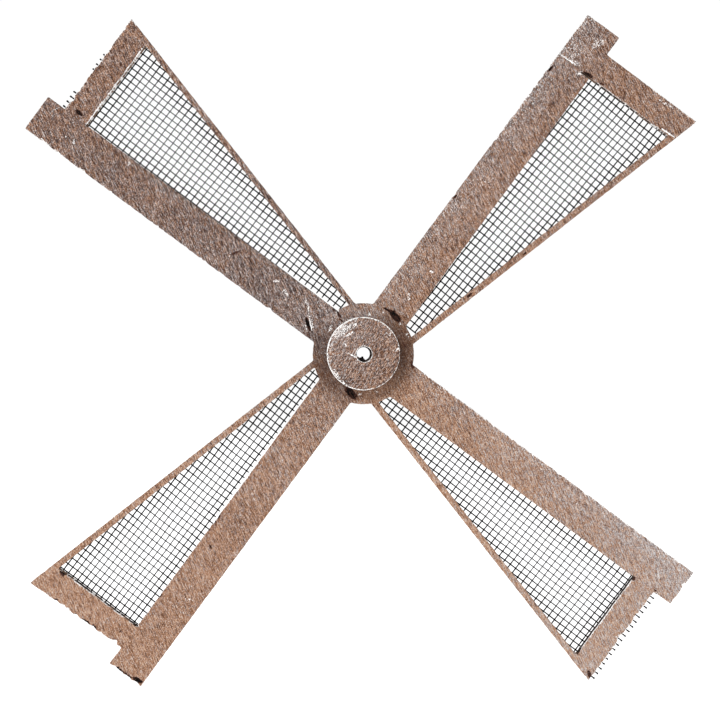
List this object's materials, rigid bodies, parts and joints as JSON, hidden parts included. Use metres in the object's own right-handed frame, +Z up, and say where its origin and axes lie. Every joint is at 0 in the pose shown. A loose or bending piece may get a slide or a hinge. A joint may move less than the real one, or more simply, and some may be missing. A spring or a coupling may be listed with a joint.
{
  "type": "windmill sail rotor",
  "caption": "Decorative wooden windmill rotor: sawn sails with wire mesh in their windows, a boss disc and a turning axle sleeve.",
  "frame": {"origin": "on the axle, in the plane that the sleeve's flange seats on", "axes": "+Y points back along the axle into the machine, +Z is up in the pose of the source, the sails face -Y"},
  "size_m": [0.6692, 0.0252, 0.6696],
  "materials": {
    "stained_plywood": "brown stain and white wash, worn through at the edges",
    "disc_wood": "brown stain and white wash with a worn white rim",
    "mesh_wire": "dark weathered galvanised wire, matt",
    "staple_steel": "dull bright steel",
    "sleeve_steel": "turned steel, browned"
  },
  "bodies": {
    "sleeve": {"axle_sleeve": "sleeve_steel"},
    "rotor": {"sail_cross": "stained_plywood", "hub_disc": "disc_wood", "hub_disc_brads": "staple_steel", "upper_left_line_wires": "mesh_wire", "upper_left_cross_wires": "mesh_wire", "upper_left_staples": "staple_steel", "upper_right_line_wires": "mesh_wire", "upper_right_cross_wires": "mesh_wire", "upper_right_staples": "staple_steel", "lower_right_line_wires": "mesh_wire", "lower_right_cross_wires": "mesh_wire", "lower_right_staples": "staple_steel", "lower_left_line_wires": "mesh_wire", "lower_left_cross_wires": "mesh_wire", "lower_left_staples": "staple_steel"}
  },
  "joints": [
    {"name": "rotor_spin", "type": "hinge", "parent": "sleeve", "child": "rotor", "pos_m": [0, 0, 0], "axis": [0, 1, 0], "continuous": true}
  ]
}
